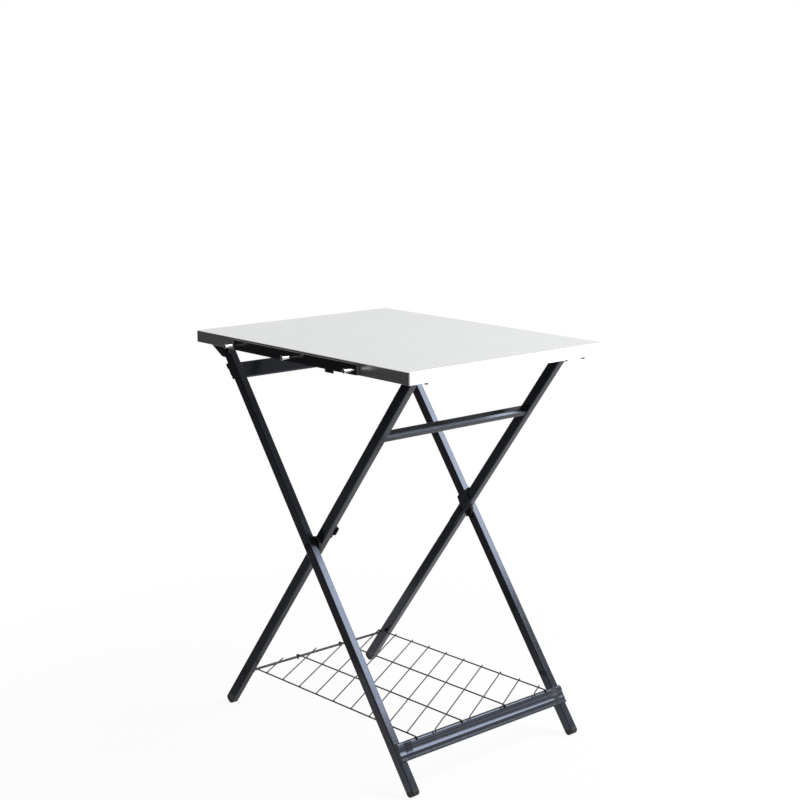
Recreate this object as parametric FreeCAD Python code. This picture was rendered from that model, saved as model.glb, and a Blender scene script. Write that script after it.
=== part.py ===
"""Folding outdoor work table: steel top, crossed tube legs, hinged wire shelf.

Millimetres. X runs along the crossbars, -Y is the front, +Z is up, and the floor is z = 0.
Each leg frame is drawn upright round the leg pivot and then leaned, so in its own
drawing x is across, y is to the back and z runs along the leg.
"""

import FreeCAD, Part
import math
import os

V = FreeCAD.Vector

# Steel top
TOP_WIDTH = 600.0
TOP_DEPTH = 755.0
TOP_HEIGHT = 950.0
TOP_SHEET = 1.2
SKIRT_DEPTH = 27.5
PAN_CORNER_R = 4.0
PAN_EDGE_R = 2.5
HEM_WIDTH = 6.0
HEM_R = 0.8

# Stiffening channels under the top
CHANNEL_DEPTH = 15.0
CHANNEL_WIDTH = 40.0
CHANNEL_SHEET = 1.5
CHANNEL_X = 105.0
CHANNEL_END_GAP = 42.0

# Tool rail and its pegs on the left side of the top
RAIL_LENGTH = 444.0
RAIL_THICK = 8.0
RAIL_HEIGHT = 23.5
RAIL_BELOW_TOP = 3.0
RAIL_END_R = 7.0
PEG_FROM_END = 10.0
PEG_BELOW_TOP = 15.0
PEG_REACH = 29.0
PEG_TIP_R = 3.6
PEG_ROOT_R = 3.0
PEG_DISC_R = 5.0
PEG_DISC_THICK = 1.8
PEG_STUD_R = 2.0
PEG_NUT_R = 4.0
PEG_NUT_THICK = 3.2

# Crossed legs, rectangular tube
PIVOT_Y = 4.0
PIVOT_DROP = 459.0
HINGE_INSET = 72.25
TUBE_X = 20.0
TUBE_Y = 25.0
TUBE_CORNER_R = 3.0
TUBE_WALL = 1.5
LEG_INSET = 44.0
LEG_GAP = 6.5

# Plastic feet and top plugs
FOOT_CAP_HEIGHT = 12.5
FOOT_TOE_R = 9.0
FOOT_CAP_R = 3.0
FOOT_TRIM = 0.1
FOOT_PLUG_REACH = 18.0
TOP_PLUG_HEIGHT = 3.0
TOP_PLUG_REACH = 6.0
PLUG_GAP = 0.1

# Leg pivots
PIVOT_BOLT_R = 4.0
PIVOT_HEAD_R = 7.5
PIVOT_HEAD_THICK = 3.0
PIVOT_TAIL_R = 8.5
PIVOT_TAIL_THICK = 1.6
SPACER_R = 20.0
RUN_GAP = 0.05
FACE_GAP = 0.15

# Plates on the inner faces of the inner legs: the left one widens to the front of the leg
# and carries a rubber rest there, the right one has a fin at the back
PLATE_THICK = 3.0
PLATE_INSET = 2.5
PLATE_BELOW = 47.0
PLATE_ABOVE = 50.0
EAR_FROM = 31.0
EAR_TO = 67.0
FIN_REACH = 13.5
FIN_FROM = 14.0
FIN_TIP = 27.5
FIN_TO = 73.0
PLATE_RIVET_Z = 32.0
RIVET_R = 1.6
RIVET_HEAD_R = 3.2
RIVET_HEAD_THICK = 1.0
REST_FROM = 40.0
REST_TO = 65.5
REST_THICK = 3.5
REST_REACH = 4.2
REST_GRIP = 5.0
REST_EDGE_R = 0.8

# Crossbars of the outer leg frame: a round lip, a hollow face, a groove and a bead.
# The bars are pressed a little flatter where they cross the legs.
BAR_HEIGHT = 43.0
BAR_WALL = 1.4
BAR_LIP_HEIGHT = 12.5
BAR_LIP_DEPTH = 13.0
BAR_LIP_R = 2.0
BAR_FACE_DEPTH = 9.5
BAR_FACE_HOLLOW = 1.6
BAR_HOLLOW_R = 30.0
BAR_CREASE_R = 0.8
BAR_RIDGE = 29.5
BAR_GROOVE_FROM = 35.4
BAR_GROOVE_TO = 37.0
BAR_GROOVE_DEPTH = 6.0
BAR_BEAD = 38.5
BAR_BEAD_STEP = 1.5
BAR_PRESSED = 0.75
BAR_TAPER = 20.0
BAR_END = 3.0
BAR_END_PRESSED = 0.55
LOWER_BAR_ABOVE_FOOT = 95.7
UPPER_BAR_BELOW_PIN = 44.0

# Crossbar of the inner leg frame, let in between the legs
INNER_BAR_BELOW_ROD = 172.5
INNER_BAR_HEIGHT = 16.0
INNER_BAR_DEPTH = 20.0
INNER_BAR_R = 2.0
INNER_BAR_SLOPE_RUN = 7.0
INNER_BAR_SLOPE_DROP = 3.1
INNER_BAR_GROOVE_DROP = 7.3
INNER_BAR_GROOVE_R = 0.8
BAR_SCREW_R = 2.5
BAR_SCREW_HEAD_R = 4.5
BAR_SCREW_HEAD_THICK = 2.0
BUTTON_BELOW_BAR = 36.5

# Top hinge at the back, top catch at the front
HINGE_DROP = 47.4
HINGE_PIN_R = 4.0
HINGE_HEAD_R = 7.0
HINGE_HEAD_THICK = 3.0
HINGE_TAIL_THICK = 1.5
HINGE_PLATE_THICK = 3.0
HINGE_EYE_R = 12.0
HINGE_SHOULDER = 17.0
HINGE_FLANGE_FRONT = 35.0
HINGE_BACK_GAP = 3.0
OUTER_LEG_PAST_PIN = 14.0
CATCH_ROD_DROP = 35.3
CATCH_ROD_R = 5.0
CATCH_ROD_OVER = 4.0
INNER_LEG_PAST_ROD = 12.0
CATCH_PLATE_THICK = 2.5
CATCH_SIDE_GAP = 1.2
CATCH_SEAT_GAP = 0.3
CATCH_FINGER = 5.0
CATCH_BACK = 24.0
CATCH_TONGUE_DROP = 33.0
CATCH_TONGUE_LENGTH = 16.0
CATCH_SLOT_LENGTH = 40.0
FLANGE_WIDTH = 16.0
STUD_R = 2.0
NUT_R = 4.0
NUT_THICK = 3.2
STUD_OVER = 1.5
STUD_FROM_END = 12.0

# Clips under the top that hold the folded legs
CLIP_Y = -81.0
CLIP_LENGTH = 28.0
CLIP_THICK = 2.5
CLIP_DROP = 44.5

# Wire shelf
SHELF_ROD_ABOVE_FOOT = 116.7
SHELF_ROD_R = 3.0
SHELF_ROD_OVER = 1.5
PUSH_NUT_R = 5.5
PUSH_NUT_THICK = 1.5
LONG_WIRE_R = 1.75
CROSS_WIRE_R = 1.5
LONG_WIRES = 4
LONG_WIRE_INSET = 8.2
CROSS_PITCH = 64.2
CROSS_SLANT = 30.93
CROSS_FIRST_GAP = 54.1
WIRE_OVERHANG = 3.5
WIRE_GAP = 0.3
WELD_GAP = 0.03
HOOK_DROP = 1.0
LOOP_TURN = 190.0

# Worked out from the sizes above
LEAN = math.degrees(math.atan2(TOP_DEPTH / 2 - HINGE_INSET - PIVOT_Y, PIVOT_DROP - HINGE_DROP))
SIN, COS = math.sin(math.radians(LEAN)), math.cos(math.radians(LEAN))
UNDER_TOP = TOP_HEIGHT - TOP_SHEET
PIVOT_Z = TOP_HEIGHT - PIVOT_DROP
OUTER_LEG_X = TOP_WIDTH / 2 - LEG_INSET
OUTER_FACE_X = OUTER_LEG_X + TUBE_X / 2
INNER_LEG_X = OUTER_LEG_X - TUBE_X - LEG_GAP
INNER_OUT_X = INNER_LEG_X + TUBE_X / 2
INNER_IN_X = INNER_LEG_X - TUBE_X / 2
PLATE_IN_X = INNER_IN_X - PLATE_THICK
LEG_FACE = TUBE_Y / 2
FOOT_TOE_Y = LEG_FACE - FOOT_TOE_R
FOOT_TIP_Z = -(PIVOT_Z - FOOT_TOE_Y * SIN - FOOT_TOE_R) / COS - FOOT_TOE_R - FOOT_TRIM
TUBE_BOTTOM_Z = FOOT_TIP_Z + FOOT_CAP_HEIGHT
HINGE_Z = (TOP_HEIGHT - HINGE_DROP - PIVOT_Z) / COS
CATCH_Z = (TOP_HEIGHT - CATCH_ROD_DROP - PIVOT_Z) / COS
LOWER_BAR_Z = FOOT_TIP_Z + LOWER_BAR_ABOVE_FOOT
UPPER_BAR_Z = HINGE_Z - UPPER_BAR_BELOW_PIN
INNER_BAR_Z = CATCH_Z - INNER_BAR_BELOW_ROD
BUTTON_Z = INNER_BAR_Z - BUTTON_BELOW_BAR
SHELF_ROD_Z = FOOT_TIP_Z + SHELF_ROD_ABOVE_FOOT
HINGE_AT = V(0, PIVOT_Y + HINGE_Z * SIN, TOP_HEIGHT - HINGE_DROP)
CATCH_AT = V(0, PIVOT_Y - CATCH_Z * SIN, TOP_HEIGHT - CATCH_ROD_DROP)
RAIL_FACE_X = -TOP_WIDTH / 2 - RAIL_THICK
CENTRE_X = (RAIL_THICK + PEG_REACH) / 2
SHELF_EDGE_X = PLATE_IN_X - LONG_WIRE_INSET
PEG_Z = TOP_HEIGHT - PEG_BELOW_TOP
PEG_PLACES = (-RAIL_LENGTH / 2 + PEG_FROM_END, 0.0, RAIL_LENGTH / 2 - PEG_FROM_END)


def box(x0, x1, y0, y1, z0, z1):
    return Part.makeBox(x1 - x0, y1 - y0, z1 - z0, V(x0, y0, z0))


def cylinder_x(x0, x1, radius, y, z):
    return Part.makeCylinder(radius, x1 - x0, V(x0, y, z), V(1, 0, 0))


def cylinder_z(x, y, z0, z1, radius):
    return Part.makeCylinder(radius, z1 - z0, V(x, y, z0))


def mirrored(shape):
    """The same piece for the other side of the table."""
    return shape.mirror(V(0, 0, 0), V(1, 0, 0))


def both_sides(shape):
    return [shape, mirrored(shape)]


def group(shapes):
    return Part.makeCompound(shapes)


def arc_corner(before, corner, after, radius):
    """Where a rounded corner starts, its middle and where it ends."""
    back, ahead = (before - corner).normalize(), (after - corner).normalize()
    half = back.getAngle(ahead) / 2
    run = radius / math.tan(half)
    middle = (back + ahead).normalize() * (radius / math.sin(half) - radius)
    return corner + back * run, corner + middle, corner + ahead * run


def rounded_run(points, radii, closed):
    """Straight runs between points, joined by arcs where a radius is given."""
    count = len(points)
    edges = []
    last = None
    first = None
    for i, (point, radius) in enumerate(zip(points, radii)):
        inside = closed or 0 < i < count - 1
        if radius and inside:
            start, middle, end = arc_corner(points[i - 1], point, points[(i + 1) % count], radius)
        else:
            start, middle, end = point, None, point
        if last is not None and last.distanceToPoint(start) > 1e-6:
            edges.append(Part.makeLine(last, start))
        if middle is not None:
            edges.append(Part.Arc(start, middle, end).toShape())
        first = start if first is None else first
        last = end
    if closed and last.distanceToPoint(first) > 1e-6:
        edges.append(Part.makeLine(last, first))
    return Part.Wire(edges)


def plate_x(corners, x0, thickness):
    """Flat plate across X from (y, z, radius) corners."""
    wire = rounded_run([V(x0, y, z) for y, z, r in corners], [r for y, z, r in corners], True)
    return Part.Face(wire).extrude(V(thickness, 0, 0))


def tube_solid(width, depth, corner, z0, z1):
    """Upright bar of rounded rectangular section, centred on x = y = 0."""
    x, y = width / 2, depth / 2
    points = [V(-x, -y, z0), V(x, -y, z0), V(x, y, z0), V(-x, y, z0)]
    return Part.Face(rounded_run(points, [corner] * 4, True)).extrude(V(0, 0, z1 - z0))


def leg_tube(z0, z1):
    outer = tube_solid(TUBE_X, TUBE_Y, TUBE_CORNER_R, z0, z1)
    inner = tube_solid(TUBE_X - 2 * TUBE_WALL, TUBE_Y - 2 * TUBE_WALL,
                       TUBE_CORNER_R - TUBE_WALL, z0, z1)
    return outer.cut(inner)


def wire_rod(points, radius, bend):
    """Round wire along straight runs joined by bends of one radius."""
    path = rounded_run(points, [bend] * len(points), False)
    return sweep(path, points[0], points[1] - points[0], radius)


def sweep(path, start, direction, radius):
    profile = Part.Wire(Part.makeCircle(radius, start, direction))
    return Part.Wire(path.Edges).makePipeShell([profile], True, True)


def lean_outer(shape):
    """Lean the outer frame back at the top and put it on the pivot."""
    return leaned(shape, -LEAN)


def lean_inner(shape):
    return leaned(shape, LEAN)


def leaned(shape, angle):
    shape = shape.copy()
    shape.rotate(V(0, 0, 0), V(1, 0, 0), angle)
    shape.translate(V(0, PIVOT_Y, PIVOT_Z))
    return shape


def leg_point(side, y, z):
    """World point of (y, z) in a leg frame's own drawing: side 1 outer, -1 inner."""
    return V(0, PIVOT_Y + y * COS + side * z * SIN, PIVOT_Z - side * y * SIN + z * COS)


def export(name, shape):
    """Move from the table's centre plane to the middle of its width with the pegs."""
    placed = shape.copy()
    placed.translate(V(CENTRE_X, 0, 0))
    placed.exportStep("parts/" + name + ".step")


def top_pan():
    """Folded sheet top: flat face, four skirts and a narrow hem turned in at the bottom."""
    x, y = TOP_WIDTH / 2, TOP_DEPTH / 2
    z0 = TOP_HEIGHT - SKIRT_DEPTH

    def block(inset, z_low, z_high, corner, edge):
        solid = box(-x + inset, x - inset, -y + inset, y - inset, z_low, z_high)
        uprights = [e for e in solid.Edges if abs(e.Vertexes[0].Z - e.Vertexes[1].Z) > 1]
        solid = solid.makeFillet(corner, uprights)
        rim = [e for e in solid.Edges if e.BoundBox.ZMin > z_high - 1e-3]
        return solid.makeFillet(edge, rim)

    shell = block(0, z0, TOP_HEIGHT, PAN_CORNER_R, PAN_EDGE_R)
    foot = [e for e in shell.Edges if e.BoundBox.ZMax < z0 + 1e-3]
    shell = shell.makeFillet(HEM_R, foot)
    inside_corner = PAN_CORNER_R - TOP_SHEET
    shell = shell.cut(block(TOP_SHEET, z0 + TOP_SHEET, UNDER_TOP, inside_corner, PAN_EDGE_R - TOP_SHEET))
    hem_in = TOP_SHEET + HEM_WIDTH
    mouth = box(-x + hem_in, x - hem_in, -y + hem_in, y - hem_in, z0 - 1, z0 + 2 * TOP_SHEET)
    for peg_y in PEG_PLACES:
        hole_x = -x - 1
        shell = shell.cut(cylinder_x(hole_x, hole_x + TOP_SHEET + 2, PEG_STUD_R + RUN_GAP, peg_y, PEG_Z))
    return shell.cut(mouth)


def channel():
    """Hat-shaped stiffener under the top, open at both ends."""
    y = TOP_DEPTH / 2 - CHANNEL_END_GAP
    z0, z1 = UNDER_TOP - CHANNEL_DEPTH, UNDER_TOP
    half, t = CHANNEL_WIDTH / 2, CHANNEL_SHEET
    brim = half / 2
    points = [(-half, z1), (-half, z1 - t), (-brim - t, z1 - t), (-brim - t, z0), (brim + t, z0),
              (brim + t, z1 - t), (half, z1 - t), (half, z1), (brim, z1), (brim, z0 + t),
              (-brim, z0 + t), (-brim, z1)]
    wire = rounded_run([V(px + CHANNEL_X, -y, pz) for px, pz in points], [0] * len(points), True)
    return Part.Face(wire).extrude(V(0, 2 * y, 0))


def tool_rail():
    """Bar along the left skirt, its outer corners rounded in plan, drilled for the pegs."""
    y = RAIL_LENGTH / 2
    z0 = TOP_HEIGHT - RAIL_BELOW_TOP - RAIL_HEIGHT
    back, face = -TOP_WIDTH / 2, RAIL_FACE_X
    points = [V(back, -y, z0), V(back, y, z0), V(face, y, z0), V(face, -y, z0)]
    wire = rounded_run(points, [0, 0, RAIL_END_R, RAIL_END_R], True)
    rail = Part.Face(wire).extrude(V(0, 0, RAIL_HEIGHT))
    for peg_y in PEG_PLACES:
        rail = rail.cut(cylinder_x(face - 1, back + 1, PEG_STUD_R + RUN_GAP, peg_y, PEG_Z))
    return rail


def peg(y):
    """Tapered pin with a disc head, threaded through the rail and the skirt."""
    root_x = RAIL_FACE_X
    disc_x = root_x - PEG_REACH + PEG_DISC_THICK
    shank = Part.makeCone(PEG_TIP_R, PEG_ROOT_R, root_x - disc_x, V(disc_x, y, PEG_Z), V(1, 0, 0))
    disc = cylinder_x(root_x - PEG_REACH, disc_x, PEG_DISC_R, y, PEG_Z)
    disc = disc.makeFillet(PEG_DISC_THICK / 3, disc.Edges[:1] + disc.Edges[2:3])
    stud_end = -TOP_WIDTH / 2 + TOP_SHEET + PEG_NUT_THICK + STUD_OVER
    stud = cylinder_x(root_x, stud_end, PEG_STUD_R, y, PEG_Z)
    return shank.fuse([disc, stud]).removeSplitter()


def hex_nut(radius, thickness, bore):
    """Upright six-sided nut on x = y = 0, its flats 2 * radius apart."""
    corner = radius / math.cos(math.pi / 6)
    points = [V(corner * math.cos(a), corner * math.sin(a), 0)
              for a in (math.pi / 3 * i for i in range(6))]
    nut = Part.Face(rounded_run(points, [0] * 6, True)).extrude(V(0, 0, thickness))
    return nut.cut(cylinder_z(0, 0, -1, thickness + 1, bore))


def peg_nut(y):
    nut = hex_nut(PEG_NUT_R, PEG_NUT_THICK, PEG_STUD_R + RUN_GAP)
    nut.rotate(V(0, 0, 0), V(0, 1, 0), 90)
    nut.translate(V(-TOP_WIDTH / 2 + TOP_SHEET, y, PEG_Z))
    return nut


def outer_leg():
    """Left leg of the frame that leans back: bored for the leg pivot and the top hinge."""
    leg = leg_tube(TUBE_BOTTOM_Z, HINGE_Z + OUTER_LEG_PAST_PIN)
    leg.translate(V(-OUTER_LEG_X, 0, 0))
    for z, radius in ((0, PIVOT_BOLT_R), (HINGE_Z, HINGE_PIN_R)):
        leg = leg.cut(cylinder_x(-OUTER_FACE_X - 1, -OUTER_FACE_X + TUBE_X + 1, radius + RUN_GAP, 0, z))
    return lean_outer(leg)


def inner_leg():
    """Left leg of the frame that leans forward: bored for pivot, catch rod and shelf rod."""
    leg = leg_tube(TUBE_BOTTOM_Z, CATCH_Z + INNER_LEG_PAST_ROD)
    leg.translate(V(-INNER_LEG_X, 0, 0))
    holes = ((0, PIVOT_BOLT_R), (CATCH_Z, CATCH_ROD_R), (SHELF_ROD_Z, SHELF_ROD_R))
    for z, radius in holes:
        leg = leg.cut(cylinder_x(-INNER_OUT_X - 1, -INNER_IN_X + 1, radius + RUN_GAP, 0, z))
    small = ((INNER_BAR_Z, BAR_SCREW_R, -INNER_OUT_X, -INNER_IN_X),
             (BUTTON_Z, RIVET_R, -INNER_IN_X - TUBE_WALL, -INNER_IN_X),
             (PLATE_RIVET_Z, RIVET_R, -INNER_IN_X - TUBE_WALL, -INNER_IN_X),
             (-PLATE_RIVET_Z, RIVET_R, -INNER_IN_X - TUBE_WALL, -INNER_IN_X))
    for z, radius, x0, x1 in small:
        leg = leg.cut(cylinder_x(x0 - 0.5, x1 + 0.5, radius + RUN_GAP, 0, z))
    return lean_inner(leg)


def spigot(z0, z1):
    """The part of a plastic plug that is pushed into a leg tube."""
    slim = 2 * (TUBE_WALL + PLUG_GAP)
    return tube_solid(TUBE_X - slim, TUBE_Y - slim, TUBE_CORNER_R - TUBE_WALL, z0, z1)


def foot_cap(lean, x):
    """Foot cap on the left leg at x: rounded toe and heel, worn level where it stands."""
    r = FOOT_TOE_R
    corners = [(-LEG_FACE, TUBE_BOTTOM_Z, 0), (-LEG_FACE, FOOT_TIP_Z, r), (LEG_FACE, FOOT_TIP_Z, r),
               (LEG_FACE, TUBE_BOTTOM_Z, 0)]
    cap = plate_x(corners, -TUBE_X / 2, TUBE_X)
    rims = [e for e in cap.Edges if e.BoundBox.XLength < 1e-3 and e.BoundBox.ZMin < TUBE_BOTTOM_Z - 1e-3]
    cap = cap.makeFillet(FOOT_CAP_R, rims)
    cap = cap.common(tube_solid(TUBE_X, TUBE_Y, TUBE_CORNER_R, FOOT_TIP_Z, TUBE_BOTTOM_Z))
    cap = cap.fuse(spigot(TUBE_BOTTOM_Z, TUBE_BOTTOM_Z + FOOT_PLUG_REACH)).removeSplitter()
    cap.translate(V(-x, 0, 0))
    cap = lean(cap)
    return cap.cut(box(-x - TUBE_X, -x + TUBE_X, -TOP_DEPTH, TOP_DEPTH, -TUBE_Y, 0))


def top_plug(lean, x, tube_end):
    """Plastic plug in the top end of the left leg at x."""
    tip = tube_end + TOP_PLUG_HEIGHT
    cap = tube_solid(TUBE_X, TUBE_Y, TUBE_CORNER_R, tube_end, tip)
    cap = cap.makeFillet(TOP_PLUG_HEIGHT / 2, [e for e in cap.Edges if e.BoundBox.ZMin > tip - 1e-3])
    plug = cap.fuse(spigot(tube_end - TOP_PLUG_REACH, tube_end)).removeSplitter()
    plug.translate(V(-x, 0, 0))
    return lean(plug)


def bar_outline(x, pressed):
    """Section of a crossbar at x, as points and corner radii, its depths pressed by a factor.

    y is out from the legs and to the front, z is up from the middle of the bar.
    """
    lip, face = BAR_LIP_DEPTH * pressed, BAR_FACE_DEPTH * pressed
    groove = BAR_GROOVE_DEPTH * pressed
    bead = groove + BAR_BEAD_STEP * pressed
    hollow = face - BAR_FACE_HOLLOW * pressed
    middle = (BAR_LIP_HEIGHT + BAR_RIDGE) / 2
    r = BAR_CREASE_R
    outline = [(0, 0, lip / 2), (lip, 0, lip / 2), (lip, BAR_LIP_HEIGHT, BAR_LIP_R), (face, BAR_LIP_HEIGHT + 1, r),
               (hollow, middle, BAR_HOLLOW_R), (face, BAR_RIDGE, r), (groove, BAR_GROOVE_FROM, r),
               (groove, BAR_GROOVE_TO, r), (bead, BAR_BEAD, r), (bead, BAR_HEIGHT, bead / 2),
               (0, BAR_HEIGHT, bead / 2)]
    points = [V(x, -out, BAR_HEIGHT / 2 - down) for out, down, r in outline]
    return rounded_run(points, [r for out, down, r in outline], True)


def outer_bar():
    """Crossbar in front of the outer legs: a beaded tube pressed solid over each leg."""
    pressed_from = OUTER_FACE_X - TUBE_X
    full = pressed_from - BAR_TAPER
    body = Part.Face(bar_outline(-full, 1))
    hollow = body.makeOffset2D(-BAR_WALL)
    pieces = [body.cut(hollow).extrude(V(2 * full, 0, 0))]
    for side in (-1, 1):
        stations = ((full, 1), (pressed_from, BAR_PRESSED), (OUTER_FACE_X - BAR_END, BAR_PRESSED),
                    (OUTER_FACE_X, BAR_END_PRESSED))
        outlines = [bar_outline(side * x, pressed) for x, pressed in stations]
        pieces.append(Part.makeLoft(outlines, True, True))
    return pieces[0].fuse(pieces[1:]).removeSplitter()


def lower_front_bar():
    bar = outer_bar()
    bar.translate(V(0, -LEG_FACE, LOWER_BAR_Z))
    return lean_outer(bar)


def upper_back_bar():
    bar = outer_bar().mirror(V(0, 0, 0), V(0, 1, 0))
    bar.translate(V(0, LEG_FACE, UPPER_BAR_Z))
    return lean_outer(bar)


def upper_front_bar():
    """Tube let in between the inner legs, its top pressed to a slope in front over a groove."""
    y, z, r = INNER_BAR_DEPTH / 2, INNER_BAR_HEIGHT / 2, INNER_BAR_R
    corners = [(-y, -z, r), (y, -z, r), (y, z, r), (-y + INNER_BAR_SLOPE_RUN, z, r),
               (-y, z - INNER_BAR_SLOPE_DROP, r)]
    points = [V(-INNER_IN_X, cy, cz) for cy, cz, cr in corners]
    wire = rounded_run(points, [cr for cy, cz, cr in corners], True)
    skin = Part.Face(wire)
    bar = skin.cut(skin.makeOffset2D(-BAR_WALL)).extrude(V(2 * INNER_IN_X, 0, 0))
    groove_z = z - INNER_BAR_GROOVE_DROP
    bar = bar.cut(cylinder_x(-INNER_IN_X - 1, INNER_IN_X + 1, INNER_BAR_GROOVE_R, -y, groove_z))
    bar.translate(V(0, 0, INNER_BAR_Z))
    return lean_inner(bar)


def bar_screw():
    """Screw through the inner leg into a crossbar end."""
    x = -INNER_OUT_X
    head = cylinder_x(x - BAR_SCREW_HEAD_THICK, x, BAR_SCREW_HEAD_R, 0, INNER_BAR_Z)
    head = head.makeFillet(BAR_SCREW_HEAD_THICK / 2, head.Edges[2:3])
    shank = cylinder_x(x, x + TUBE_X, BAR_SCREW_R, 0, INNER_BAR_Z)
    return lean_inner(head.fuse(shank).removeSplitter())


def inner_rivet(z, face_x):
    """Domed rivet on the inner side of the left inner leg."""
    head = cylinder_x(face_x, face_x + RIVET_HEAD_THICK, RIVET_HEAD_R, 0, z)
    shank = cylinder_x(-INNER_IN_X - TUBE_WALL, face_x, RIVET_R, 0, z)
    return lean_inner(head.fuse(shank).removeSplitter())


def pivot_bolt():
    """Leg pivot: head outside the outer leg, tail peened inside the pivot plate."""
    head_x = -OUTER_FACE_X
    tail_x = -PLATE_IN_X + FACE_GAP
    head = cylinder_x(head_x - PIVOT_HEAD_THICK, head_x, PIVOT_HEAD_R, 0, 0)
    head = head.makeFillet(PIVOT_HEAD_THICK / 3, head.Edges[2:3])
    shank = cylinder_x(head_x, tail_x, PIVOT_BOLT_R, 0, 0)
    tail = cylinder_x(tail_x, tail_x + PIVOT_TAIL_THICK, PIVOT_TAIL_R, 0, 0)
    return lean_outer(head.fuse([shank, tail]).removeSplitter())


def pivot_spacer():
    x0, x1 = -OUTER_FACE_X + TUBE_X, -INNER_OUT_X - FACE_GAP
    ring = cylinder_x(x0, x1, SPACER_R, 0, 0)
    return lean_outer(ring.cut(cylinder_x(x0 - 1, x1 + 1, PIVOT_BOLT_R + RUN_GAP, 0, 0)))


def plain_edge(side):
    """Long edge of a pivot plate from bottom to top: side -1 is the front one, 1 the back one."""
    y = side * (LEG_FACE - PLATE_INSET)
    return [(y, -PLATE_BELOW, 3), (y, PLATE_ABOVE, 2)]


def eared_edge():
    """Front edge with an ear above the pivot, flush with the front of the leg."""
    y = PLATE_INSET - LEG_FACE
    return [(y, -PLATE_BELOW, 3), (y, EAR_FROM - 2 * PLATE_INSET, 3), (-LEG_FACE, EAR_FROM, 3),
            (-LEG_FACE, EAR_TO, 1), (0, EAR_TO, 3)]


def finned_edge():
    """Back edge with a fin that tapers to a point on the leg above the plate."""
    y, fin = LEG_FACE - PLATE_INSET, LEG_FACE + FIN_REACH
    return [(y, -PLATE_BELOW, 3), (y, FIN_FROM, 3), (fin, FIN_FROM + FIN_REACH / 2, 3), (fin, FIN_TIP, 3),
            (LEG_FACE, FIN_TO, 1), (y / 2, PLATE_ABOVE, 2)]


def pivot_plate(front, back):
    """Left plate round the pivot between two long edges, drilled for the pivot and its rivets."""
    plate = plate_x(front + back[::-1], -INNER_IN_X, PLATE_THICK)
    holes = ((0, PIVOT_BOLT_R), (PLATE_RIVET_Z, RIVET_R), (-PLATE_RIVET_Z, RIVET_R))
    for z, radius in holes:
        plate = plate.cut(cylinder_x(-INNER_IN_X - 1, -PLATE_IN_X + 1, radius + RUN_GAP, 0, z))
    return lean_inner(plate)


def rubber_rest():
    """Rubber pad on the inner side of the ear, standing out in front of the leg."""
    front, back = -LEG_FACE - REST_REACH, -LEG_FACE + REST_GRIP
    corners = [(back, REST_FROM, 1), (-LEG_FACE, REST_FROM, 2), (front, REST_FROM + REST_REACH, 2),
               (front, REST_TO, 1), (back, REST_TO, 1)]
    pad = plate_x(corners, -PLATE_IN_X, REST_THICK)
    rim = [e for e in pad.Edges if e.BoundBox.XMin > -PLATE_IN_X + REST_THICK - 1e-3]
    return lean_inner(pad.makeFillet(REST_EDGE_R, rim))


def catch_rod():
    """Rod through the tops of the inner legs, which the catches of the top sit on."""
    reach = INNER_OUT_X + CATCH_ROD_OVER
    return lean_inner(cylinder_x(-reach, reach, CATCH_ROD_R, 0, CATCH_Z))


def shelf_rod():
    reach = INNER_OUT_X + SHELF_ROD_OVER + PUSH_NUT_THICK
    return lean_inner(cylinder_x(-reach, reach, SHELF_ROD_R, 0, SHELF_ROD_Z))


def push_nut():
    x1 = -INNER_OUT_X
    x0 = x1 - PUSH_NUT_THICK
    ring = cylinder_x(x0, x1, PUSH_NUT_R, 0, SHELF_ROD_Z)
    ring = ring.makeFillet(PUSH_NUT_THICK / 2, ring.Edges[2:3])
    return lean_inner(ring.cut(cylinder_x(x0 - 1, x1 + 1, SHELF_ROD_R + RUN_GAP, 0, SHELF_ROD_Z)))


def hinge_bracket():
    """Left rear bracket: a gusset outside the leg with a flange under the top."""
    x0 = -OUTER_FACE_X - FACE_GAP - HINGE_PLATE_THICK
    y, z = HINGE_AT.y, HINGE_AT.z
    r, front, back = HINGE_EYE_R, y - HINGE_FLANGE_FRONT, hinge_flange_back()
    shoulder = z + HINGE_SHOULDER
    corners = [(front, UNDER_TOP, 0), (y - 1.5 * r, shoulder, 6), (y - r, z - r, 0.75 * r),
               (y + r, z - r, 0.75 * r), (back, shoulder, 8), (back, UNDER_TOP, 0)]
    gusset = plate_x(corners, x0, HINGE_PLATE_THICK)
    flange = box(x0 - FLANGE_WIDTH, x0 + HINGE_PLATE_THICK, front, back, UNDER_TOP - HINGE_PLATE_THICK, UNDER_TOP)
    bracket = gusset.fuse(flange).removeSplitter()
    bracket = bracket.cut(cylinder_x(x0 - 1, x0 + HINGE_PLATE_THICK + 1, HINGE_PIN_R + RUN_GAP, y, z))
    for stud_y in hinge_stud_places():
        bracket = bracket.cut(cylinder_z(hinge_stud_x(), stud_y, TOP_HEIGHT - 10, TOP_HEIGHT, STUD_R + RUN_GAP))
    return bracket


def hinge_stud_x():
    return -OUTER_FACE_X - FACE_GAP - HINGE_PLATE_THICK - FLANGE_WIDTH / 2


def hinge_stud_places():
    return [HINGE_AT.y - HINGE_FLANGE_FRONT + STUD_FROM_END, hinge_flange_back() - STUD_FROM_END]


def hinge_flange_back():
    return TOP_DEPTH / 2 - TOP_SHEET - HEM_WIDTH - HINGE_BACK_GAP


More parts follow.
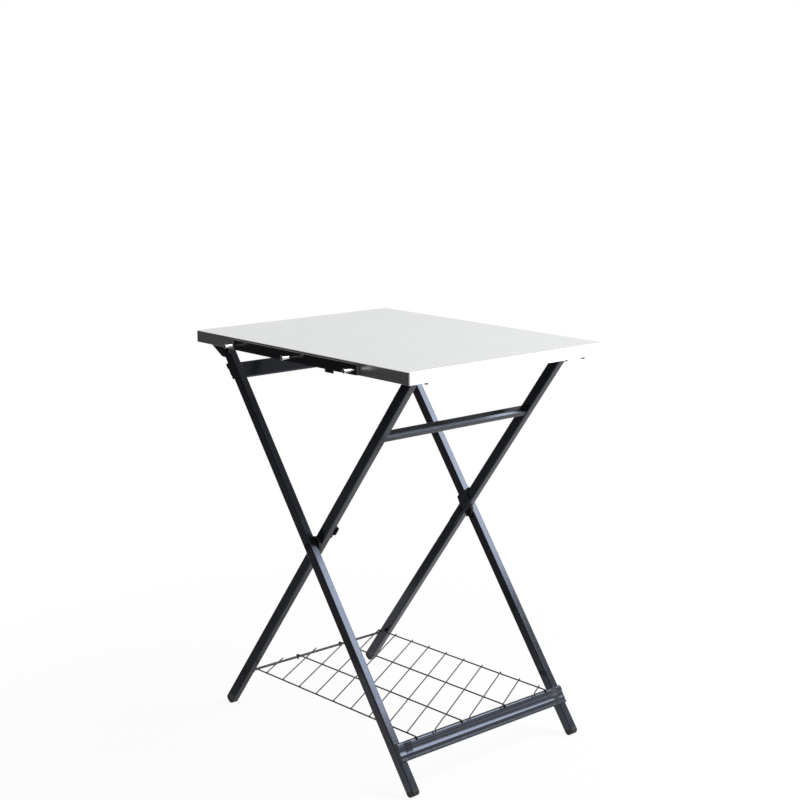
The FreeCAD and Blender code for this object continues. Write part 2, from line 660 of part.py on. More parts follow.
def hinge_pin():
    """Pin of the top hinge: headed outside the bracket, peened inside the leg."""
    head_x = -OUTER_FACE_X - FACE_GAP - HINGE_PLATE_THICK - FACE_GAP
    tail_x = -OUTER_FACE_X + TUBE_X
    head = cylinder_x(head_x - HINGE_HEAD_THICK, head_x, HINGE_HEAD_R, 0, HINGE_Z)
    head = head.makeFillet(HINGE_HEAD_THICK / 3, head.Edges[2:3])
    shank = cylinder_x(head_x, tail_x, HINGE_PIN_R, 0, HINGE_Z)
    tail = cylinder_x(tail_x, tail_x + HINGE_TAIL_THICK, HINGE_PIN_R * 1.5, 0, HINGE_Z)
    return lean_outer(head.fuse([shank, tail]).removeSplitter())


def catch_plate_x():
    return -INNER_OUT_X - CATCH_SIDE_GAP - CATCH_PLATE_THICK


def catch_bracket():
    """Left front catch: a hook plate beside the inner leg, open down and to the back."""
    x0 = catch_plate_x()
    y, z = CATCH_AT.y, CATCH_AT.z
    seat = CATCH_ROD_R + CATCH_SEAT_GAP
    front = catch_front()
    tongue = TOP_HEIGHT - CATCH_TONGUE_DROP
    low = z - seat - CATCH_FINGER
    corners = [(front, UNDER_TOP, 0), (front, tongue, 3), (front + CATCH_TONGUE_LENGTH, tongue, 3),
               (y - seat * 3, low + 6, 8), (y - seat - 6, low, 3), (y + 2, low, 2), (y + CATCH_BACK, z + seat, 3),
               (y + CATCH_BACK, UNDER_TOP, 0)]
    plate = plate_x(corners, x0, CATCH_PLATE_THICK)
    slot = box(x0 - 1, x0 + CATCH_PLATE_THICK + 1, 0, CATCH_SLOT_LENGTH, -seat, seat)
    slot.rotate(V(0, 0, 0), V(1, 0, 0), -45)
    slot.translate(V(0, y, z))
    eye = cylinder_x(x0 - 1, x0 + CATCH_PLATE_THICK + 1, seat, y, z)
    flange = box(x0 - FLANGE_WIDTH, x0 + CATCH_PLATE_THICK, front, y + CATCH_BACK,
                 UNDER_TOP - CATCH_PLATE_THICK, UNDER_TOP)
    bracket = plate.cut(slot.fuse(eye)).fuse(flange).removeSplitter()
    for stud_y in catch_stud_places():
        bracket = bracket.cut(cylinder_z(catch_stud_x(), stud_y, TOP_HEIGHT - 10, TOP_HEIGHT, STUD_R + RUN_GAP))
    return bracket


def catch_stud_x():
    return catch_plate_x() - FLANGE_WIDTH / 2


def catch_stud_places():
    return [catch_front() + STUD_FROM_END, CATCH_AT.y + CATCH_BACK - STUD_FROM_END]


def catch_front():
    return -TOP_DEPTH / 2 + TOP_SHEET + HEM_WIDTH


def leg_clip():
    """Left clip under the top: two sprung sides that grip the folded outer leg."""
    half = TUBE_X / 2 + FACE_GAP
    z0 = TOP_HEIGHT - CLIP_DROP
    y0, y1 = CLIP_Y - CLIP_LENGTH / 2, CLIP_Y + CLIP_LENGTH / 2
    points = [(-half - CLIP_THICK, UNDER_TOP, 2.5), (-half - CLIP_THICK, z0, 1), (-half, z0, 0.5),
              (-half, UNDER_TOP - CLIP_THICK, 0.5), (half, UNDER_TOP - CLIP_THICK, 0.5), (half, z0, 0.5),
              (half + CLIP_THICK, z0, 1), (half + CLIP_THICK, UNDER_TOP, 2.5)]
    wire = rounded_run([V(px - OUTER_LEG_X, y0, pz) for px, pz, r in points], [r for px, pz, r in points], True)
    clip = Part.Face(wire).extrude(V(0, y1 - y0, 0))
    return clip.cut(cylinder_z(-OUTER_LEG_X, CLIP_Y, z0, TOP_HEIGHT, STUD_R + RUN_GAP))


def stud_places():
    """Weld studs under the left half of the top: (x, y, thickness they clamp)."""
    places = [(hinge_stud_x(), y, HINGE_PLATE_THICK) for y in hinge_stud_places()]
    places += [(catch_stud_x(), y, CATCH_PLATE_THICK) for y in catch_stud_places()]
    places.append((-OUTER_LEG_X, CLIP_Y, CLIP_THICK))
    return places


def weld_stud(x, y, clamped):
    length = clamped + NUT_THICK + STUD_OVER
    return cylinder_z(x, y, UNDER_TOP - length, UNDER_TOP, STUD_R)


def stud_nut(x, y, clamped):
    nut = hex_nut(NUT_R, NUT_THICK, STUD_R + RUN_GAP)
    nut.translate(V(x, y, UNDER_TOP - clamped - NUT_THICK))
    return nut


def shelf_line():
    """Centre line of the long wires in the YZ plane, tangent to the rod loop and the bar's lip.

    Returns the two circle centres, their radii and the line's upward normal.
    """
    rod = leg_point(-1, 0, SHELF_ROD_Z)
    lip_r = BAR_LIP_DEPTH / 2
    lip = leg_point(1, -LEG_FACE - lip_r, LOWER_BAR_Z + BAR_HEIGHT / 2 - lip_r)
    loop_r = SHELF_ROD_R + WIRE_GAP + LONG_WIRE_R
    over_r = lip_r + WIRE_GAP + LONG_WIRE_R
    run = lip - rod
    slope = math.atan2(run.z, -run.y) + math.asin((over_r - loop_r) / run.Length)
    up = V(0, math.sin(slope), math.cos(slope))
    return rod, loop_r, lip, over_r, up


def hook_points(lift):
    """Corner over the bar's lip and the hook's end, for wires raised by lift."""
    rod, loop_r, lip, over_r, up = shelf_line()
    out = V(0, -COS, SIN)
    radius = over_r + lift
    corner = lip + (up + out) * (radius / (1 + up.dot(out)))
    end = corner - V(0, SIN, COS) * (radius * math.tan(up.getAngle(out) / 2) + HOOK_DROP)
    return corner, end, radius


def long_wire_places():
    return [SHELF_EDGE_X * (2 * i / (LONG_WIRES - 1) - 1) for i in range(LONG_WIRES)]


def long_wire(x):
    """Front-to-back wire: looped round the shelf rod, straight, then hooked over the bar."""
    rod, loop_r, lip, over_r, up = shelf_line()
    corner, end, radius = hook_points(0)
    shift = V(x, 0, 0)
    top = math.degrees(math.atan2(up.z, up.y))
    spots = [top - LOOP_TURN, top - LOOP_TURN / 2, top]
    loop = [rod + V(0, math.cos(math.radians(a)), math.sin(math.radians(a))) * loop_r + shift for a in spots]
    edges = [Part.Arc(*loop).toShape()]
    run = rounded_run([loop[2], corner + shift, end + shift], [0, radius, 0], False)
    first = math.radians(spots[0])
    start_direction = V(0, -math.sin(first), math.cos(first))
    return sweep(Part.Wire(edges + run.Edges), loop[0], start_direction, LONG_WIRE_R)


def cross_wire_count():
    """As many as meet the right-hand long wire behind the crossbar."""
    reach = (shelf_line()[0] - hook_points(0)[0]).y
    slant = 2 * SHELF_EDGE_X * math.tan(math.radians(CROSS_SLANT))
    return 1 + int((reach + slant - CROSS_FIRST_GAP) / CROSS_PITCH)


def cross_wire(index):
    """Slanting wire laid on the long wires; the front ones end in a hook over the bar."""
    rod, loop_r, lip, over_r, up = shelf_line()
    lift = LONG_WIRE_R + CROSS_WIRE_R + WELD_GAP
    base = rod + up * (loop_r + lift)
    edge_x = SHELF_EDGE_X
    rise = math.tan(math.radians(CROSS_SLANT))
    y_at_centre = rod.y - CROSS_FIRST_GAP - index * CROSS_PITCH + rise * edge_x
    along = V(0, up.z, -up.y)
    back_y = rod.y
    corner, end, radius = hook_points(lift)

    def point(x, y):
        return V(x, 0, 0) + base + along * ((y - base.y) / along.y)

    x_left, x_right = -edge_x - WIRE_OVERHANG, edge_x + WIRE_OVERHANG
    x_back = (back_y - y_at_centre) / rise
    x_front = (corner.y - y_at_centre) / rise
    x1 = min(x_right, x_back)
    far = point(x1, y_at_centre + rise * x1)
    if x_front < x_left:
        near = point(x_left, y_at_centre + rise * x_left)
        return wire_rod([far, near], CROSS_WIRE_R, 0)
    shift = V(x_front, 0, 0)
    return wire_rod([far, corner + shift, end + shift], CROSS_WIRE_R, radius / 2)


def main():
    os.makedirs("parts", exist_ok=True)

    export("top_pan", top_pan())
    export("top_channels", group(both_sides(channel())))
    export("tool_rail", tool_rail())
    export("tool_pegs", group([peg(y) for y in PEG_PLACES]))
    export("peg_nuts", group([peg_nut(y) for y in PEG_PLACES]))
    for name, piece in (("hinge_bracket", hinge_bracket()), ("catch_bracket", catch_bracket()),
                        ("leg_clip", leg_clip())):
        export("left_" + name, piece)
        export("right_" + name, mirrored(piece))
    studs = [weld_stud(*place) for place in stud_places()]
    nuts = [stud_nut(*place) for place in stud_places()]
    export("weld_studs", group(studs + [mirrored(stud) for stud in studs]))
    export("stud_nuts", group(nuts + [mirrored(nut) for nut in nuts]))

    export("left_outer_leg", outer_leg())
    export("right_outer_leg", mirrored(outer_leg()))
    export("lower_front_bar", lower_front_bar())
    export("upper_back_bar", upper_back_bar())
    foot = foot_cap(lean_outer, OUTER_LEG_X)
    export("front_left_foot_cap", foot)
    export("front_right_foot_cap", mirrored(foot))
    export("outer_leg_plugs", group(both_sides(top_plug(lean_outer, OUTER_LEG_X, HINGE_Z + OUTER_LEG_PAST_PIN))))
    export("hinge_pins", group(both_sides(hinge_pin())))
    export("pivot_bolts", group(both_sides(pivot_bolt())))
    export("pivot_spacers", group(both_sides(pivot_spacer())))

    export("left_inner_leg", inner_leg())
    export("right_inner_leg", mirrored(inner_leg()))
    export("upper_front_bar", upper_front_bar())
    export("bar_screws", group(both_sides(bar_screw())))
    export("leg_buttons", group(both_sides(inner_rivet(BUTTON_Z, -INNER_IN_X))))
    foot = foot_cap(lean_inner, INNER_LEG_X)
    export("back_left_foot_cap", foot)
    export("back_right_foot_cap", mirrored(foot))
    export("inner_leg_plugs", group(both_sides(top_plug(lean_inner, INNER_LEG_X, CATCH_Z + INNER_LEG_PAST_ROD))))
    export("left_pivot_plate", pivot_plate(eared_edge(), plain_edge(1)))
    export("right_pivot_plate", mirrored(pivot_plate(plain_edge(-1), finned_edge())))
    rivets = [inner_rivet(z, -PLATE_IN_X) for z in (-PLATE_RIVET_Z, PLATE_RIVET_Z)]
    export("plate_rivets", group(rivets + [mirrored(rivet) for rivet in rivets]))
    export("rubber_rest", rubber_rest())
    export("catch_rod", catch_rod())
    export("shelf_rod", shelf_rod())
    export("shelf_rod_push_nuts", group(both_sides(push_nut())))

    export("shelf_long_wires", group([long_wire(x) for x in long_wire_places()]))
    export("shelf_cross_wires", group([cross_wire(i) for i in range(cross_wire_count())]))


main()
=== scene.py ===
"""Looks of the folding outdoor table: finishes, welds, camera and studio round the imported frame."""

import bpy
import math
from mathutils import Matrix, Vector


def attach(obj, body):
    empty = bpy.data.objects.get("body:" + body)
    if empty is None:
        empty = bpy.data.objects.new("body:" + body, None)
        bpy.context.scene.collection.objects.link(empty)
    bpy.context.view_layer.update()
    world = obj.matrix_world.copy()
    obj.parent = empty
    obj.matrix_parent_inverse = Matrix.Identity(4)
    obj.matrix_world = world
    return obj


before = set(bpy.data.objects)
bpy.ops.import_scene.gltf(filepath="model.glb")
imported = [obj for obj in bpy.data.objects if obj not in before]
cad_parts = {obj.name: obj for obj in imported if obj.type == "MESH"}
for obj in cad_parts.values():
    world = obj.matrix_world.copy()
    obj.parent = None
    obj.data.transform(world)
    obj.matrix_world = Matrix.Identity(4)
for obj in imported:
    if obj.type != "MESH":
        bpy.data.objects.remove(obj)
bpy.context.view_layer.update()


# Outer leg frame. The legs are 20 x 25 mm steel tube and lean back at the top. They are
# powder coated in charcoal after welding: the powder melts to a hard skin with a fine
# orange peel, dark and neutral in shade and cool grey where it mirrors the lamp.
def linear(hex_colour):
    """An sRGB hex colour as the linear colour that a shader reads."""
    parts = [int(hex_colour[i:i + 2], 16) / 255 for i in (1, 3, 5)]
    return [p / 12.92 if p <= 0.04045 else ((p + 0.055) / 1.055) ** 2.4 for p in parts] + [1.0]


def put(tree, kind, settings=None, links=None):
    """Adds a node with its settings, and feeds its inputs from other nodes' outputs."""
    made = tree.nodes.new(kind)
    for name, value in (settings or {}).items():
        if isinstance(name, str) and hasattr(made, name):
            setattr(made, name, value)
        else:
            made.inputs[name].default_value = value
    for name, source in (links or {}).items():
        tree.links.new(source, made.inputs[name])
    return made


def finish(name):
    """An empty material, its tree, and the place on the piece that its patterns follow."""
    made = bpy.data.materials.new(name)
    made.use_nodes = True
    made.node_tree.nodes.clear()
    return made, made.node_tree, put(made.node_tree, "ShaderNodeTexCoord").outputs["Object"]


def noise(tree, place, per_metre, detail):
    """A soft noise with this many patches to the metre."""
    return put(tree, "ShaderNodeTexNoise", {"Scale": per_metre, "Detail": detail}, {"Vector": place}).outputs["Fac"]


def two_tone(tree, pattern, dark, light, low=0.3, high=0.7):
    """A colour that goes from dark to light while the pattern goes from low to high."""
    ramp = put(tree, "ShaderNodeValToRGB", None, {"Fac": pattern})
    for stop, position, colour in zip(ramp.color_ramp.elements, (low, high), (dark, light)):
        stop.position, stop.color = position, linear(colour)
    return ramp.outputs["Color"]


def between(tree, value, least, most, low=0.0, high=1.0):
    """A value that goes from least to most while another goes from low to high."""
    return put(tree, "ShaderNodeMapRange", {"From Min": low, "From Max": high, "To Min": least, "To Max": most},
               {"Value": value}).outputs[0]


def dimpled(tree, pattern, strength, depth):
    """The facing of a surface that a pattern dents to this depth."""
    return put(tree, "ShaderNodeBump", {"Strength": strength, "Distance": depth}, {"Height": pattern}).outputs[0]


def skin(tree, settings, links):
    """The material's outer skin."""
    shader = put(tree, "ShaderNodeBsdfPrincipled", settings, links)
    put(tree, "ShaderNodeOutputMaterial", None, {"Surface": shader.outputs[0]})


def wear(material, *nodes):
    """Gives the named CAD nodes this finish."""
    for name in nodes:
        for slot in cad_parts[name].material_slots:
            slot.material = material


ORANGE_PEEL = 0.004
PEEL_DEPTH = 0.00002
COAT_CLOUD = 0.035
COAT_SPECK = 0.0022
COAT_DARK = "#111214"
COAT_LIGHT = "#1A1B1F"
COAT_MIRROR = "#DCE6FF"

powder_coat, tree, place = finish("charcoal_powder_coat")
cloud = noise(tree, place, 1 / COAT_CLOUD, 3.0)
speck = noise(tree, place, 1 / COAT_SPECK, 1.0)
mottle = put(tree, "ShaderNodeMath", {"operation": "MULTIPLY_ADD", 1: 0.5}, {0: speck, 2: cloud})
peel = noise(tree, place, 1 / ORANGE_PEEL, 1.5)
skin(tree, {"IOR": 1.5, "Specular Tint": linear(COAT_MIRROR)},
     {"Base Color": two_tone(tree, mottle.outputs[0], COAT_DARK, COAT_LIGHT, low=0.45, high=1.0),
      "Roughness": between(tree, cloud, 0.15, 0.22, low=0.3, high=0.7),
      "Normal": dimpled(tree, peel, 0.1, PEEL_DEPTH)})

wear(powder_coat, "left_outer_leg", "right_outer_leg")


# Crossbars of the outer frame: beaded tube pressed flat over each leg and welded to it,
# with the same coat as the legs.
wear(powder_coat, "lower_front_bar", "upper_back_bar")


# Feet, top plugs and the discs between the legs: moulded in black polypropylene. The caps
# and plugs are pushed into the tube ends. The mould was spark eroded, so all are matt with
# a fine grain.
CAP_GRAIN = 0.0015
GRAIN_DEPTH = 0.0001

moulded, tree, place = finish("moulded_black_polypropylene")
grain = noise(tree, place, 1 / CAP_GRAIN, 2.0)
skin(tree, {"IOR": 1.49, "Roughness": 0.62},
     {"Base Color": two_tone(tree, grain, "#070708", "#0E0E0F", high=0.75),
      "Normal": dimpled(tree, grain, 0.3, GRAIN_DEPTH)})

wear(moulded, "front_left_foot_cap", "front_right_foot_cap", "outer_leg_plugs",
     "back_left_foot_cap", "back_right_foot_cap", "inner_leg_plugs", "pivot_spacers")


# Bolts, pins, rivets, screws and push nuts of both leg frames: cold-headed steel, blackened
# so that they match the legs, with a cloudy dull shine.
BLACKING_PER_METRE = 400.0

blackened, tree, place = finish("blackened_steel")
bloom = noise(tree, place, BLACKING_PER_METRE, 3.0)
skin(tree, {"Metallic": 1.0}, {"Base Color": two_tone(tree, bloom, "#2A2B2E", "#3C3D40"),
                               "Roughness": between(tree, bloom, 0.28, 0.5)})

wear(blackened, "pivot_bolts", "hinge_pins", "plate_rivets", "leg_buttons", "bar_screws",
     "shelf_rod_push_nuts")


# Nuts and weld studs under the top and behind the skirt: cold-formed steel with a bright
# zinc plating, which clouds a little.
PLATING_PER_METRE = 600.0

zinc, tree, place = finish("zinc_plated_steel")
bloom = noise(tree, place, PLATING_PER_METRE, 3.0)
skin(tree, {"Metallic": 1.0}, {"Base Color": two_tone(tree, bloom, "#A9ACB0", "#C3C5C6"),
                               "Roughness": between(tree, bloom, 0.25, 0.45)})

wear(zinc, "stud_nuts", "weld_studs", "peg_nuts")


# Inner leg frame: same tube and coat, with its crossbar let in between the legs, plates
# riveted on at the pivots and the rod that carries the top.
wear(powder_coat, "left_inner_leg", "right_inner_leg", "upper_front_bar", "left_pivot_plate",
     "right_pivot_plate", "catch_rod")


# Rubber rest, pushed onto the ear of the left pivot plate: moulded black rubber, dull, with
# a grey bloom.
RUBBER_PER_METRE = 300.0

rubber, tree, place = finish("moulded_rubber")
bloom = noise(tree, place, RUBBER_PER_METRE, 3.0)
skin(tree, {"IOR": 1.52, "Roughness": 0.75}, {"Base Color": two_tone(tree, bloom, "#101010", "#1D1D1E", low=0.35)})

wear(rubber, "rubber_rest")


# Wire shelf: drawn steel wire, spot welded where it crosses, dipped in black plastic coating,
# as is the rod that it turns on. The coating ran a little before it set.
COATING_PER_METRE = 120.0

coated_wire, tree, place = finish("dip_coated_wire")
run = noise(tree, place, COATING_PER_METRE, 2.0)
skin(tree, {"IOR": 1.54, "Roughness": 0.38}, {"Base Color": two_tone(tree, run, "#0C0C0C", "#141415")})

wear(coated_wire, "shelf_long_wires", "shelf_cross_wires", "shelf_rod")

# Each crossing is a resistance weld: the two wires sink into each other and a little steel
# squeezes out beside them, which the coating rounds off to a small lump.
WELD_SIZE = (0.0056, 0.0044, 0.0032)
WELD_LEAST = 0.85
WELD_MOST = 1.1
WELD_SEED = 4
LONG_WIRE_PLACES = (-0.2083, -0.0694, 0.0694, 0.2083)
TABLE_MIDDLE = 0.0185
FIRST_CROSSING = 0.2376
CROSS_WIRES = 13
CROSS_PITCH = 0.0642
CROSS_RISE = 0.5992
SHELF_FRONT = -0.300
SHELF_BACK = 0.290
SHELF_LEVEL = 0.1047
SHELF_BACK_Y = 0.2918
SHELF_SLOPE = -0.01663

weld_spots = []
for across in LONG_WIRE_PLACES:
    for row in range(CROSS_WIRES):
        y = FIRST_CROSSING - row * CROSS_PITCH + CROSS_RISE * (across - LONG_WIRE_PLACES[0])
        if SHELF_FRONT < y < SHELF_BACK:
            weld_spots.append((TABLE_MIDDLE + across, y, SHELF_LEVEL + SHELF_SLOPE * (y - SHELF_BACK_Y)))
spots = bpy.data.meshes.new("weld_spots")
spots.from_pydata(weld_spots, [], [])
shelf_welds = bpy.data.objects.new("shelf_welds", spots)
bpy.context.scene.collection.objects.link(shelf_welds)

tree = bpy.data.node_groups.new("weld_lumps", "GeometryNodeTree")
tree.interface.new_socket("Geometry", in_out="INPUT", socket_type="NodeSocketGeometry")
size_in = tree.interface.new_socket("Size", in_out="INPUT", socket_type="NodeSocketVector")
turn_in = tree.interface.new_socket("Turn", in_out="INPUT", socket_type="NodeSocketFloat")
coat_in = tree.interface.new_socket("Coat", in_out="INPUT", socket_type="NodeSocketMaterial")
tree.interface.new_socket("Geometry", in_out="OUTPUT", socket_type="NodeSocketGeometry")
given = put(tree, "NodeGroupInput")
ball = put(tree, "GeometryNodeMeshUVSphere", {"Segments": 16, "Rings": 8, "Radius": 0.5})
turned = put(tree, "ShaderNodeCombineXYZ", None, {"Z": given.outputs["Turn"]})
uneven = put(tree, "FunctionNodeRandomValue",
             {"data_type": "FLOAT", 2: WELD_LEAST, 3: WELD_MOST, "Seed": WELD_SEED})
grown = put(tree, "ShaderNodeVectorMath", {"operation": "SCALE"},
            {0: given.outputs["Size"], "Scale": uneven.outputs[1]})
placed = put(tree, "GeometryNodeInstanceOnPoints", None,
             {"Points": given.outputs["Geometry"], "Instance": ball.outputs["Mesh"],
              "Rotation": turned.outputs[0], "Scale": grown.outputs[0]})
real = put(tree, "GeometryNodeRealizeInstances", None, {"Geometry": placed.outputs[0]})
smooth = put(tree, "GeometryNodeSetShadeSmooth", None, {"Geometry": real.outputs[0]})
coat = put(tree, "GeometryNodeSetMaterial", None,
           {"Geometry": smooth.outputs[0], "Material": given.outputs["Coat"]})
put(tree, "NodeGroupOutput", None, {"Geometry": coat.outputs[0]})
grower = shelf_welds.modifiers.new("weld_lumps", "NODES")
grower.node_group = tree
grower[size_in.identifier] = WELD_SIZE
grower[turn_in.identifier] = math.atan(CROSS_RISE)
grower[coat_in.identifier] = coated_wire
evaluated = shelf_welds.evaluated_get(bpy.context.evaluated_depsgraph_get())
grown_mesh = bpy.data.meshes.new_from_object(evaluated)
shelf_welds.modifiers.clear()
shelf_welds.data = grown_mesh
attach(shelf_welds, "shelf")


# Top: stainless sheet folded to a pan, brushed from side to side on a belt before it was bent.
# The scratches run along X, so that reflections stretch across them and the front skirt glares.
BRUSH_LENGTH = 0.06
BRUSH_WIDTH = 0.0012
BRUSH_WAY = (1.0, 0.0, 0.1)

stainless, tree, place = finish("brushed_stainless_sheet")
drawn = put(tree, "ShaderNodeMapping", {"Scale": (1 / BRUSH_LENGTH, 1 / BRUSH_WIDTH, 1 / BRUSH_WIDTH)},
            {"Vector": place})
scratch = noise(tree, drawn.outputs[0], 1.0, 3.0)
facing = put(tree, "ShaderNodeNewGeometry").outputs["True Normal"]
across = put(tree, "ShaderNodeVectorMath", {"operation": "CROSS_PRODUCT", 1: BRUSH_WAY}, {0: facing})
skin(tree, {"Metallic": 1.0, "Anisotropic": 0.7},
     {"Base Color": two_tone(tree, scratch, "#C7C8C8", "#D2D2D1"),
      "Roughness": between(tree, scratch, 0.24, 0.36), "Tangent": across.outputs[0]})

wear(stainless, "top_pan", "top_channels")


# Tool rail: glossy black bar moulded in ABS, screwed to the left skirt by its three pegs. It
# is almost even in colour, with faint flow marks.
FLOW_PER_METRE = 30.0

rail_plastic, tree, place = finish("glossy_moulded_abs")
flow = noise(tree, place, FLOW_PER_METRE, 2.0)
skin(tree, {"IOR": 1.53, "Roughness": 0.16}, {"Base Color": two_tone(tree, flow, "#0D0E11", "#131418")})

wear(rail_plastic, "tool_rail")


# Pegs: turned stainless, polished on the wheel, bright with faint streaks. Their studs go
# through rail and skirt.
POLISH_PER_METRE = 500.0

polished, tree, place = finish("polished_stainless")
wheel = noise(tree, place, POLISH_PER_METRE, 2.0)
skin(tree, {"Metallic": 1.0}, {"Base Color": two_tone(tree, wheel, "#D8D6D2", "#E4E3E0"),
                               "Roughness": between(tree, wheel, 0.05, 0.16)})

wear(polished, "tool_pegs")


# Brackets and clips under the top: pressed steel, coated like the legs and held by the nuts
# on the weld studs.
wear(powder_coat, "left_hinge_bracket", "right_hinge_bracket", "left_catch_bracket",
     "right_catch_bracket", "left_leg_clip", "right_leg_clip")


# Studio: a white floor, a soft lamp high in front to the right, and a white reflector standing
# below it.
SOFTBOX_WAY = (0.570, -0.448, 0.688)
SOFTBOX_SIZE = 1.65
SOFTBOX_POWER = 94.0
SOFTBOX_COLOUR = "#EAF2FA"
REFLECTOR_WAY = (0.71, -0.70, 0.03)
REFLECTOR_WIDTH = 3.0
REFLECTOR_HEIGHT = 1.1
REFLECTOR_POWER = 16.0
LAMP_AWAY = 3.0
AIM = Vector((0.0, 0.0, 0.45))
WHITE = "#FFFFFF"


def lamp(name, way, wide, tall, power, colour):
    """A soft rectangular lamp that looks at the middle of the table."""
    light = bpy.data.lights.new(name, "AREA")
    light.color = linear(colour)[:3]
    light.shape, light.size, light.size_y, light.energy = "RECTANGLE", wide, tall, power
    holder = bpy.data.objects.new(name, light)
    way = Vector(way).normalized()
    holder.location = AIM + way * LAMP_AWAY
    holder.rotation_euler = way.to_track_quat("Z", "Y").to_euler()
    bpy.context.scene.collection.objects.link(holder)


lamp("softbox", SOFTBOX_WAY, SOFTBOX_SIZE, SOFTBOX_SIZE, SOFTBOX_POWER, SOFTBOX_COLOUR)
lamp("reflector", REFLECTOR_WAY, REFLECTOR_WIDTH, REFLECTOR_HEIGHT, REFLECTOR_POWER, WHITE)


def sheet_object(name, corners):
    """A flat four-cornered piece of the studio."""
    mesh = bpy.data.meshes.new(name)
    mesh.from_pydata(corners, [], [(0, 1, 2, 3)])
    made = bpy.data.objects.new(name, mesh)
    bpy.context.scene.collection.objects.link(made)
    return made


# The floor is white to the camera and to mirrors, and matt near the table, where it takes the
# shadow. Mirrors also see a painted shadow on it behind the table on the left, where the table's
# shade falls: its glow is dimmed there for them, fitted to what the legs mirror from the camera's side.
FLOOR_HALF = 30.0
FLOOR_WHITE_NEAR = 0.93
FLOOR_FADE_FROM = 0.5
FLOOR_FADE_TO = 1.5
FLOOR_COLOUR = "#F4F4F4"
SHADE_MIDDLE = (-0.25, 0.2, 0.0)
SHADE_FROM = 0.1
SHADE_TO = 0.65
SHADE_WHITE = 0.42

floor = sheet_object("floor", [(-FLOOR_HALF, -FLOOR_HALF, 0), (FLOOR_HALF, -FLOOR_HALF, 0),
                               (FLOOR_HALF, FLOOR_HALF, 0), (-FLOOR_HALF, FLOOR_HALF, 0)])
white_floor, tree, place = finish("white_floor")
rays = put(tree, "ShaderNodeLightPath")
away = put(tree, "ShaderNodeVectorMath", {"operation": "LENGTH"}, {0: place})
clear = put(tree, "ShaderNodeMapRange",
            {"interpolation_type": "SMOOTHSTEP", "From Min": FLOOR_FADE_FROM, "From Max": FLOOR_FADE_TO,
             "To Min": FLOOR_WHITE_NEAR, "To Max": 1.0}, {"Value": away.outputs["Value"]})
looked_at = put(tree, "ShaderNodeMath", {"operation": "ADD", "use_clamp": True},
                {0: rays.outputs["Is Camera Ray"], 1: rays.outputs["Is Transmission Ray"]})
white_part = put(tree, "ShaderNodeMath", {"operation": "MULTIPLY_ADD", "use_clamp": True},
                 {0: looked_at.outputs[0], 1: clear.outputs[0], 2: rays.outputs["Is Glossy Ray"]})
# Painted shadow: the glow that mirrors see is dimmed round SHADE_MIDDLE, where the table's shade falls.
from_shade = put(tree, "ShaderNodeVectorMath", {"operation": "DISTANCE", 1: SHADE_MIDDLE}, {0: place})
painted_shadow_dim = between(tree, from_shade.outputs["Value"], SHADE_WHITE - 1, 0.0, low=SHADE_FROM, high=SHADE_TO)
level = put(tree, "ShaderNodeMath", {"operation": "MULTIPLY_ADD", 2: 1.0},
            {0: rays.outputs["Is Glossy Ray"], 1: painted_shadow_dim})
glow = put(tree, "ShaderNodeEmission", {"Color": linear(WHITE)}, {"Strength": level.outputs[0]})
matt = put(tree, "ShaderNodeBsdfDiffuse", {"Color": linear(FLOOR_COLOUR)})
both = put(tree, "ShaderNodeMixShader", None,
           {0: white_part.outputs[0], 1: matt.outputs[0], 2: glow.outputs[0]})
put(tree, "ShaderNodeOutputMaterial", None, {"Surface": both.outputs[0]})
floor.data.materials.append(white_floor)

# Two dark cards on the left, greyer near the floor, that only mirrors see. They are fitted to
# what the legs and the left skirt mirror from the camera's side, and from the right or from
# behind they darken the top too.
CARD_X = -0.9
CARD_NEAR_X = -0.24
CARD_FRONT_Y = -0.6
CARD_LYING_FROM_Y = 0.28
CARD_BACK_Y = 4.0
CARD_FOOT_Z = 0.01
CARD_TOP_Z = 2.4
CARD_LIT_TO = 0.35
CARD_DARK_FROM = 0.68
CARD_GREY = 0.2
CARD_BLACK = 0.055

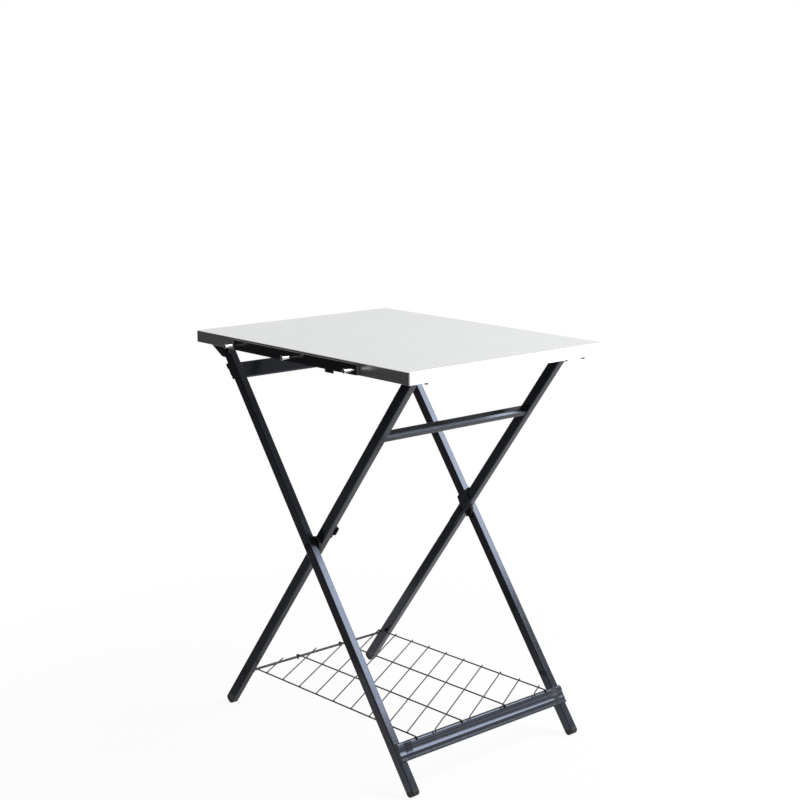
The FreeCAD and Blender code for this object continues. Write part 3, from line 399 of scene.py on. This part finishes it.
black_card, tree, place = finish("black_card")
height = put(tree, "ShaderNodeSeparateXYZ", None, {0: place}).outputs["Z"]
grey = between(tree, height, CARD_GREY, CARD_BLACK, low=CARD_LIT_TO, high=CARD_DARK_FROM)
ember = put(tree, "ShaderNodeEmission", {"Color": linear(WHITE)}, {"Strength": grey})
put(tree, "ShaderNodeOutputMaterial", None, {"Surface": ember.outputs[0]})
for name, corners in (
        ("standing_card", [(CARD_X, CARD_FRONT_Y, CARD_FOOT_Z), (CARD_X, CARD_BACK_Y, CARD_FOOT_Z),
                           (CARD_X, CARD_BACK_Y, CARD_TOP_Z), (CARD_X, CARD_FRONT_Y, CARD_TOP_Z)]),
        ("lying_card", [(CARD_X, CARD_LYING_FROM_Y, CARD_FOOT_Z), (CARD_NEAR_X, CARD_LYING_FROM_Y, CARD_FOOT_Z),
                        (CARD_NEAR_X, CARD_BACK_Y, CARD_FOOT_Z), (CARD_X, CARD_BACK_Y, CARD_FOOT_Z)])):
    card = sheet_object(name, corners)
    card.visible_camera = card.visible_diffuse = card.visible_shadow = card.visible_transmission = False
    card.data.materials.append(black_card)

# The world is white to the camera, mirrors and glass, and dimmer as a light.
WORLD_LIGHT = 0.4

world = bpy.data.worlds.new("studio")
bpy.context.scene.world = world
world.use_nodes = True
tree = world.node_tree
tree.nodes.clear()
rays = put(tree, "ShaderNodeLightPath")
mirrored = put(tree, "ShaderNodeMath", {"operation": "ADD"},
               {0: rays.outputs["Is Camera Ray"], 1: rays.outputs["Is Glossy Ray"]})
looked_at = put(tree, "ShaderNodeMath", {"operation": "ADD", "use_clamp": True},
                {0: mirrored.outputs[0], 1: rays.outputs["Is Transmission Ray"]})
sky = put(tree, "ShaderNodeBackground", {"Color": linear(WHITE)},
          {"Strength": between(tree, looked_at.outputs[0], WORLD_LIGHT, 1.0)})
put(tree, "ShaderNodeOutputWorld", None, {"Surface": sky.outputs[0]})


# Camera: solved from the photograph's perspective.
CAMERA_PLACE = (-2.4003, -2.7100, 1.5199)
YAW, PITCH, ROLL = math.radians(41.91), math.radians(11.24), math.radians(0.21)
LENS = 70.89
SENSOR_WIDTH = 36.0

view = bpy.data.cameras.new("camera")
view.lens, view.sensor_width = LENS, SENSOR_WIDTH
camera = bpy.data.objects.new("camera", view)
camera.location = CAMERA_PLACE
camera.rotation_euler = (Matrix.Rotation(-YAW, 3, "Z") @ Matrix.Rotation(math.pi / 2 - PITCH, 3, "X")
                         @ Matrix.Rotation(ROLL, 3, "Z")).to_euler()
bpy.context.scene.collection.objects.link(camera)
bpy.context.scene.camera = camera
bpy.context.scene.view_settings.view_transform = "Standard"
